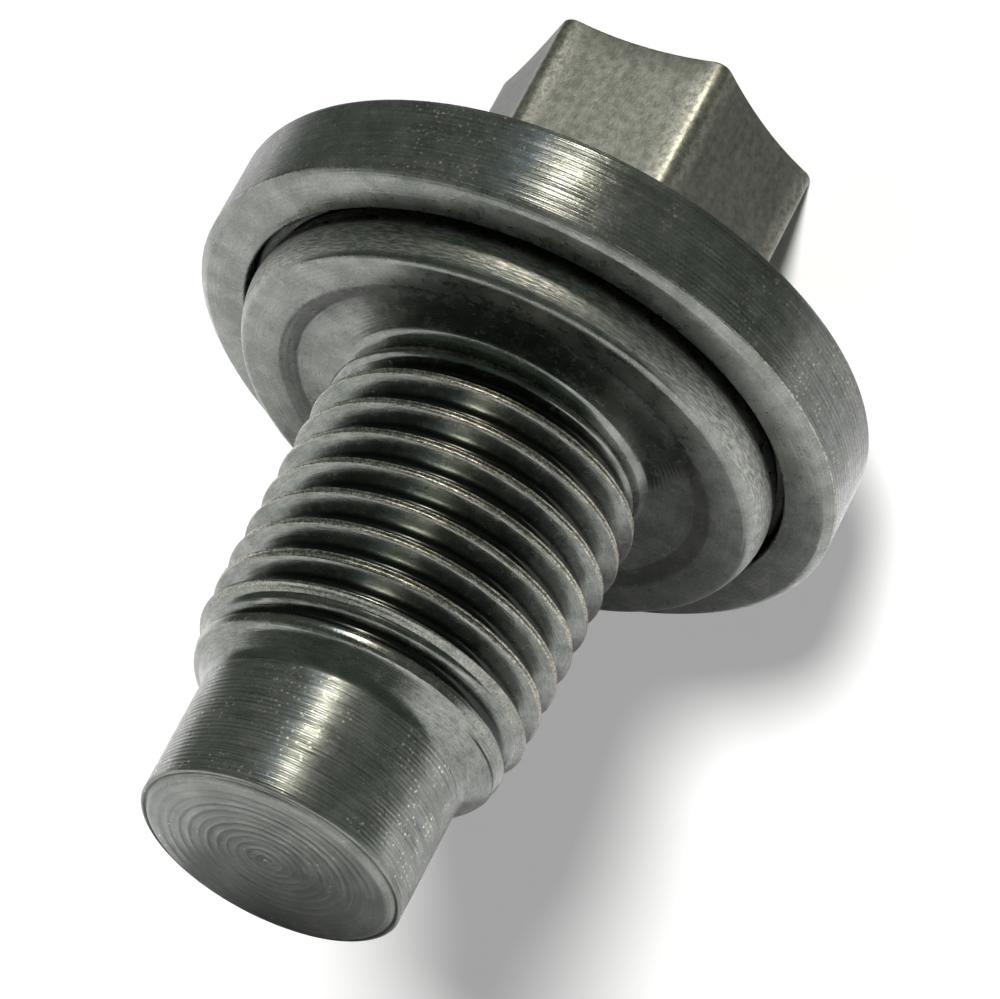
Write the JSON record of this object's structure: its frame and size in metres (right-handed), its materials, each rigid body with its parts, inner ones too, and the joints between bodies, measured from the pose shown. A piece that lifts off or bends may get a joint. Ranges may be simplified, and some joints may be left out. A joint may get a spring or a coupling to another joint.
{
  "type": "oil drain plug",
  "caption": "Screw-in drain plug for an engine sump, with a hexagon head, a wide flange, a raised sealing ring, a metric fine thread and a plain pilot point.",
  "frame": {"origin": "middle of the hexagon head's end, where the plug stands", "axes": "+Z along the plug's axis from the head towards the pilot; X through two corners of the hexagon"},
  "size_m": [0.0278, 0.0278, 0.0374],
  "materials": {
    "black_oxide_steel": "dark green-black oxide over turned, rolled and forged steel, satin with a fine bright grain"
  },
  "bodies": {
    "root": {"drain_plug": "black_oxide_steel"}
  },
  "joints": []
}
